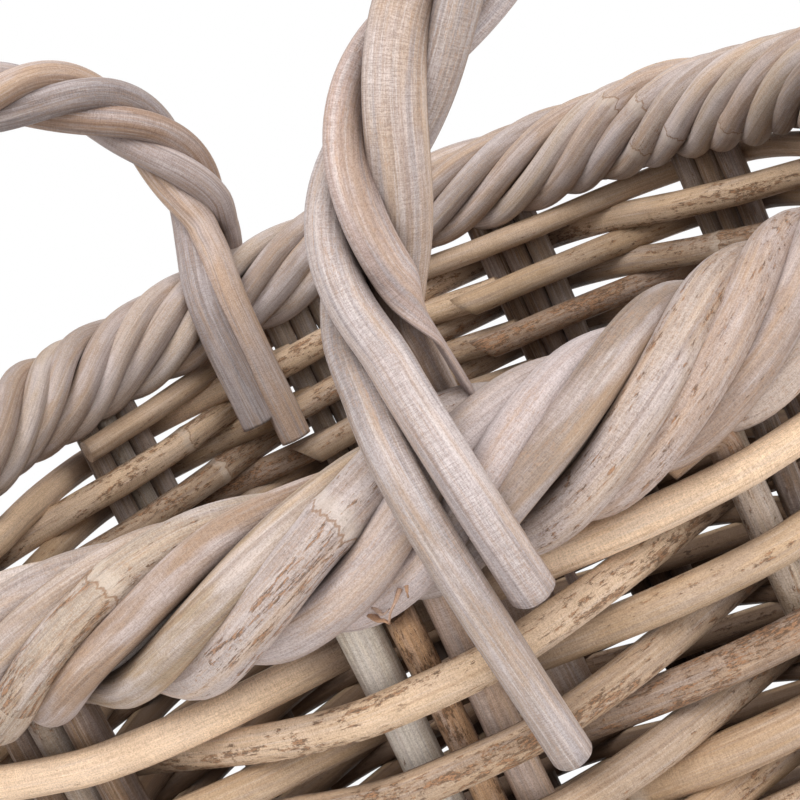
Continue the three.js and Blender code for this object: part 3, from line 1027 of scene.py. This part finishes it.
# Painted shade in the crevices of each handle's rope: the distance from its middle where it is full
# and where it starts
HANDLE_CREVICE_SHADE_REACH = (5.0, 8.4)


def edge_on_share(path):
    """How far the flat cane is turned on edge, from 0 to 1 at its first foot."""
    s = lengths(path)
    turned = ramp((BORDER_TOP + EDGE_ON_TOP - path[:, 2]) / EDGE_ON_RUN) * (s < s[-1] / 2)
    return turned**2 * (3 - 2 * turned)


def make_handles():
    """Both handles, a piece for each cane."""
    for h, group in enumerate(HANDLE_START_GROUPS):
        start = group_angle(group) + HANDLE_FOOT_ANGLE
        for strand in range(HANDLE_STRANDS):
            path = handle_path(strand, h, start, start + HANDLE_SPAN)
            path = soften(smooth(path, HANDLE_STEP), ARCH_SOFTENING)
            share = ramp((BORDER_TOP + LEG_SOFT_TOP - path[:, 2]) / LEG_SOFT_RUN)[:, None]
            path = path * (1 - share) + soften(path, LEG_SOFTENING) * share
            outward = path * [1, 1, 0]
            outward /= np.linalg.norm(outward, axis=1)[:, None]
            reference = outward
            shown, radius, flatness = HANDLE_CANES[(h, strand)]
            if (h, strand) == EDGE_ON:
                turned = edge_on_share(path)
                turn = turned * math.pi / 2
                around = np.cross([0, 0, 1], outward)
                reference = outward * np.cos(turn)[:, None] + around * np.sin(turn)[:, None]
                flatness = (flatness + EDGE_ON_FLATNESS * turned)[:, None]
            canes = Canes()
            canes.add(
                path, radius, reference, linear(*shown), sides=24, flatness=flatness,
                twist=HANDLE_FIBRE_TWIST, tilt=HANDLE_END_TILTS,
                core=rope_middle(path, h, start, start + HANDLE_SPAN), reach=HANDLE_CREVICE_SHADE_REACH,
            )
            name, node = f"handle_{h + 1}_cane_{strand + 1}", f"handle_{h + 1}_strand_{strand + 1}"
            canes.build(name, ROPED, "handle_cane", node)


# The foot: a rope of canes, and one more laid along its inner side, which closes the base
FOOT_STRANDS = 3
FOOT_TURNS = 16
FOOT_MIDDLE = 7.5
FOOT_HALF_WIDTH = 3.5
FOOT_CANE_RADIUS = 3.6
FOOT_NODES = (50, 900)
FOOT_ROUND_SHARE = 0.999
INNER_CANE_PLACE = (143.2, 10.5)
INNER_CANE_RADIUS = 2.9
# The base: sticks through its middle, and a cane woven round them in a spiral
BASE_HEIGHT = 8.0
BASE_RADIUS = 142.0
BASE_STICKS = 13
BASE_START = 12.0
BASE_PITCH = 4.5
BASE_MOST_TURNS = 30
BASE_WAVE = 2.4
BASE_STICK_RADIUS = 2.1
BASE_CANE_RADIUS = 2.3
BASE_NODES = (80, 9000, 260.0)
# The spiral goes on by this length at each of the radii from here to there
BASE_STEP = 3.0
BASE_STEP_RADII = (10.0, 140.0, 0.03)
# Painted shade over the whole base, which lies inside and underneath
BASE_SHADE = 0.62


def make_foot_and_base():
    """The rope-like foot border and the woven base."""
    foot = Canes()
    around = np.linspace(0, FULL_TURN * FOOT_ROUND_SHARE, 420)
    for strand in range(FOOT_STRANDS):
        twist = FOOT_TURNS * around + FULL_TURN * strand / FOOT_STRANDS
        radius = WALL_RADIUS + FOOT_HALF_WIDTH * np.cos(twist)
        path = polar(radius, around, FOOT_MIDDLE + FOOT_HALF_WIDTH * np.sin(twist))
        tone, rings = pick(MOTTLED), rng.uniform(*FOOT_NODES, 3)
        foot.add(path, FOOT_CANE_RADIUS, UP, tone, wear=0.5, rings=rings)
    inner_at, inner_height = INNER_CANE_PLACE
    inner = polar(inner_at, around, inner_height)
    foot.add(inner, INNER_CANE_RADIUS, UP, linear(*MOTTLED[1]), wear=0.5, sides=10)
    foot.build("foot_rope", WASHED, "border_cane", "foot_ring")

    # The base is darkened evenly with painted shade.
    def shaded(points):
        return np.full(points.shape[:-1], BASE_SHADE)

    base = Canes()
    line = np.linspace(-BASE_RADIUS, BASE_RADIUS, 60)
    for i in range(BASE_STICKS):
        angle = math.pi * i / BASE_STICKS
        level = np.full(len(line), BASE_HEIGHT)
        path = np.stack([line * math.cos(angle), line * math.sin(angle), level], axis=1)
        tone = pick(WEATHERED)
        base.add(path, BASE_STICK_RADIUS, UP, tone, wear=0.5, sides=10, dark=shaded)
    turn = np.cumsum(BASE_STEP / np.arange(*BASE_STEP_RADII))
    turn = turn[turn < FULL_TURN * BASE_MOST_TURNS]
    radius = BASE_START + BASE_PITCH * turn / FULL_TURN
    radius = radius[radius < BASE_RADIUS]
    turn = turn[: len(radius)]
    wave = BASE_WAVE * np.cos(BASE_STICKS * turn * (1 + 1 / (2 * BASE_STICKS)))
    base.add(
        polar(radius, turn, BASE_HEIGHT + wave), BASE_CANE_RADIUS, UP, linear(*MOTTLED[0]),
        wear=0.5, sides=8, rings=np.arange(*BASE_NODES), dark=shaded,
    )
    base.build("base_weave", WOVEN, "base_cane", "base_panel")


# The order of these calls is the order of the random draws.
make_stakes()
make_weavers()
make_border()
make_fibres()
make_handles()
make_foot_and_base()
make_bent_end()


WHITE = (1, 1, 1, 1)
FLOOR_WHITE = (0.93, 0.93, 0.93, 1)
FLOOR_RADIUS = 6.0
# How white the camera sees the floor: from this distance to that, from this share to that
FLOOR_FADE = (0.35, 1.1, 0.6, 1.0)
WORLD_LIGHT = 0.78


def make_floor():
    """A matt white floor, which the camera sees as white as the world further off."""
    bpy.ops.mesh.primitive_circle_add(vertices=96, radius=FLOOR_RADIUS, fill_type="NGON")
    floor = bpy.context.object
    floor.name = "floor"
    material = bpy.data.materials.new("floor_white")
    material.use_nodes = True
    nodes, link = material.node_tree.nodes, material.node_tree.links.new
    matt = nodes["Principled BSDF"]
    matt.inputs["Base Color"].default_value = FLOOR_WHITE
    matt.inputs["Roughness"].default_value = 0.9
    glow = nodes.new("ShaderNodeEmission")
    mix = nodes.new("ShaderNodeMixShader")
    path = nodes.new("ShaderNodeLightPath")
    share = nodes.new("ShaderNodeMath")
    share.operation = "MULTIPLY"
    place = nodes.new("ShaderNodeNewGeometry")
    distance = nodes.new("ShaderNodeVectorMath")
    distance.operation = "LENGTH"
    fade = nodes.new("ShaderNodeMapRange")
    for value, socket in zip(FLOOR_FADE, list(fade.inputs)[1:5]):
        socket.default_value = value
    link(place.outputs["Position"], distance.inputs[0])
    link(distance.outputs["Value"], fade.inputs[0])
    link(path.outputs["Is Camera Ray"], share.inputs[0])
    link(fade.outputs[0], share.inputs[1])
    link(share.outputs[0], mix.inputs[0])
    link(matt.outputs[0], mix.inputs[1])
    link(glow.outputs[0], mix.inputs[2])
    link(mix.outputs[0], nodes["Material Output"].inputs["Surface"])
    floor.data.materials.append(material)


def make_world():
    """An even white light, seen by the camera as plain white."""
    world = bpy.data.worlds.new("studio")
    bpy.context.scene.world = world
    world.use_nodes = True
    nodes, link = world.node_tree.nodes, world.node_tree.links.new
    lit = nodes["Background"]
    seen = nodes.new("ShaderNodeBackground")
    for background, strength in ((lit, WORLD_LIGHT), (seen, 1.0)):
        background.inputs["Color"].default_value = WHITE
        background.inputs["Strength"].default_value = strength
    path = nodes.new("ShaderNodeLightPath")
    mix = nodes.new("ShaderNodeMixShader")
    link(path.outputs["Is Camera Ray"], mix.inputs[0])
    link(lit.outputs[0], mix.inputs[1])
    link(seen.outputs[0], mix.inputs[2])
    link(mix.outputs[0], nodes["World Output"].inputs["Surface"])


# Place and size in metres, and power in watts
LAMPS = {
    "key": ((-0.9, -0.3, 2.1), 0.9, 23.5),
    "front": ((0.3, -1.4, 1.6), 1.0, 12),
    "fill": ((-0.5, -1.7, 0.5), 1.2, 6),
}
LAMP_AIM = Vector((0, 0, 0.4))


def make_lamps():
    """The lamps, each turned to the upper part of the basket."""
    for name, (place, size, power) in LAMPS.items():
        lamp = bpy.data.lights.new(name, "AREA")
        lamp.energy = power
        lamp.size = size
        holder = bpy.data.objects.new(name, lamp)
        holder.location = place
        holder.rotation_euler = (LAMP_AIM - Vector(place)).to_track_quat("-Z", "Y").to_euler()
        bpy.context.scene.collection.objects.link(holder)


# The camera, fitted to the photograph with the stake group at the handle's foot as its zero angle
CAMERA_TURN = FIRST_GROUP_ANGLE + math.radians(94.3)
CAMERA_PLACE = Vector((0.104, -3.035, 0.622)) * WALL_RADIUS * MM
CAMERA_YAW = math.radians(-2.14)
CAMERA_PITCH = math.radians(13.7)
CAMERA_ROLL = math.radians(25.2)
CAMERA_FOCAL_SHARE = 1909 / 800
SENSOR_WIDTH = 36.0
CLIP_START = 0.01


def make_camera():
    """The camera, with its yaw and pitch first and its roll last."""
    turn = Matrix.Rotation(CAMERA_TURN, 3, "Z")
    ahead = Vector((
        math.sin(CAMERA_YAW) * math.cos(CAMERA_PITCH),
        math.cos(CAMERA_YAW) * math.cos(CAMERA_PITCH),
        -math.sin(CAMERA_PITCH),
    ))
    level = Vector((math.cos(CAMERA_YAW), -math.sin(CAMERA_YAW), 0))
    up = level.cross(ahead)
    right = math.cos(CAMERA_ROLL) * level - math.sin(CAMERA_ROLL) * up
    top = math.sin(CAMERA_ROLL) * level + math.cos(CAMERA_ROLL) * up
    axes = Matrix((turn @ right, turn @ top, turn @ -ahead)).transposed()
    camera = bpy.data.cameras.new("camera")
    camera.sensor_width = SENSOR_WIDTH
    camera.lens = SENSOR_WIDTH * CAMERA_FOCAL_SHARE
    camera.clip_start = CLIP_START
    holder = bpy.data.objects.new("camera", camera)
    place = turn @ CAMERA_PLACE + Vector((0, 0, BORDER_MIDDLE * MM))
    holder.matrix_world = Matrix.Translation(place) @ axes.to_4x4()
    bpy.context.scene.collection.objects.link(holder)
    bpy.context.scene.camera = holder


make_floor()
make_world()
make_lamps()
make_camera()
bpy.context.scene.view_settings.view_transform = "Standard"
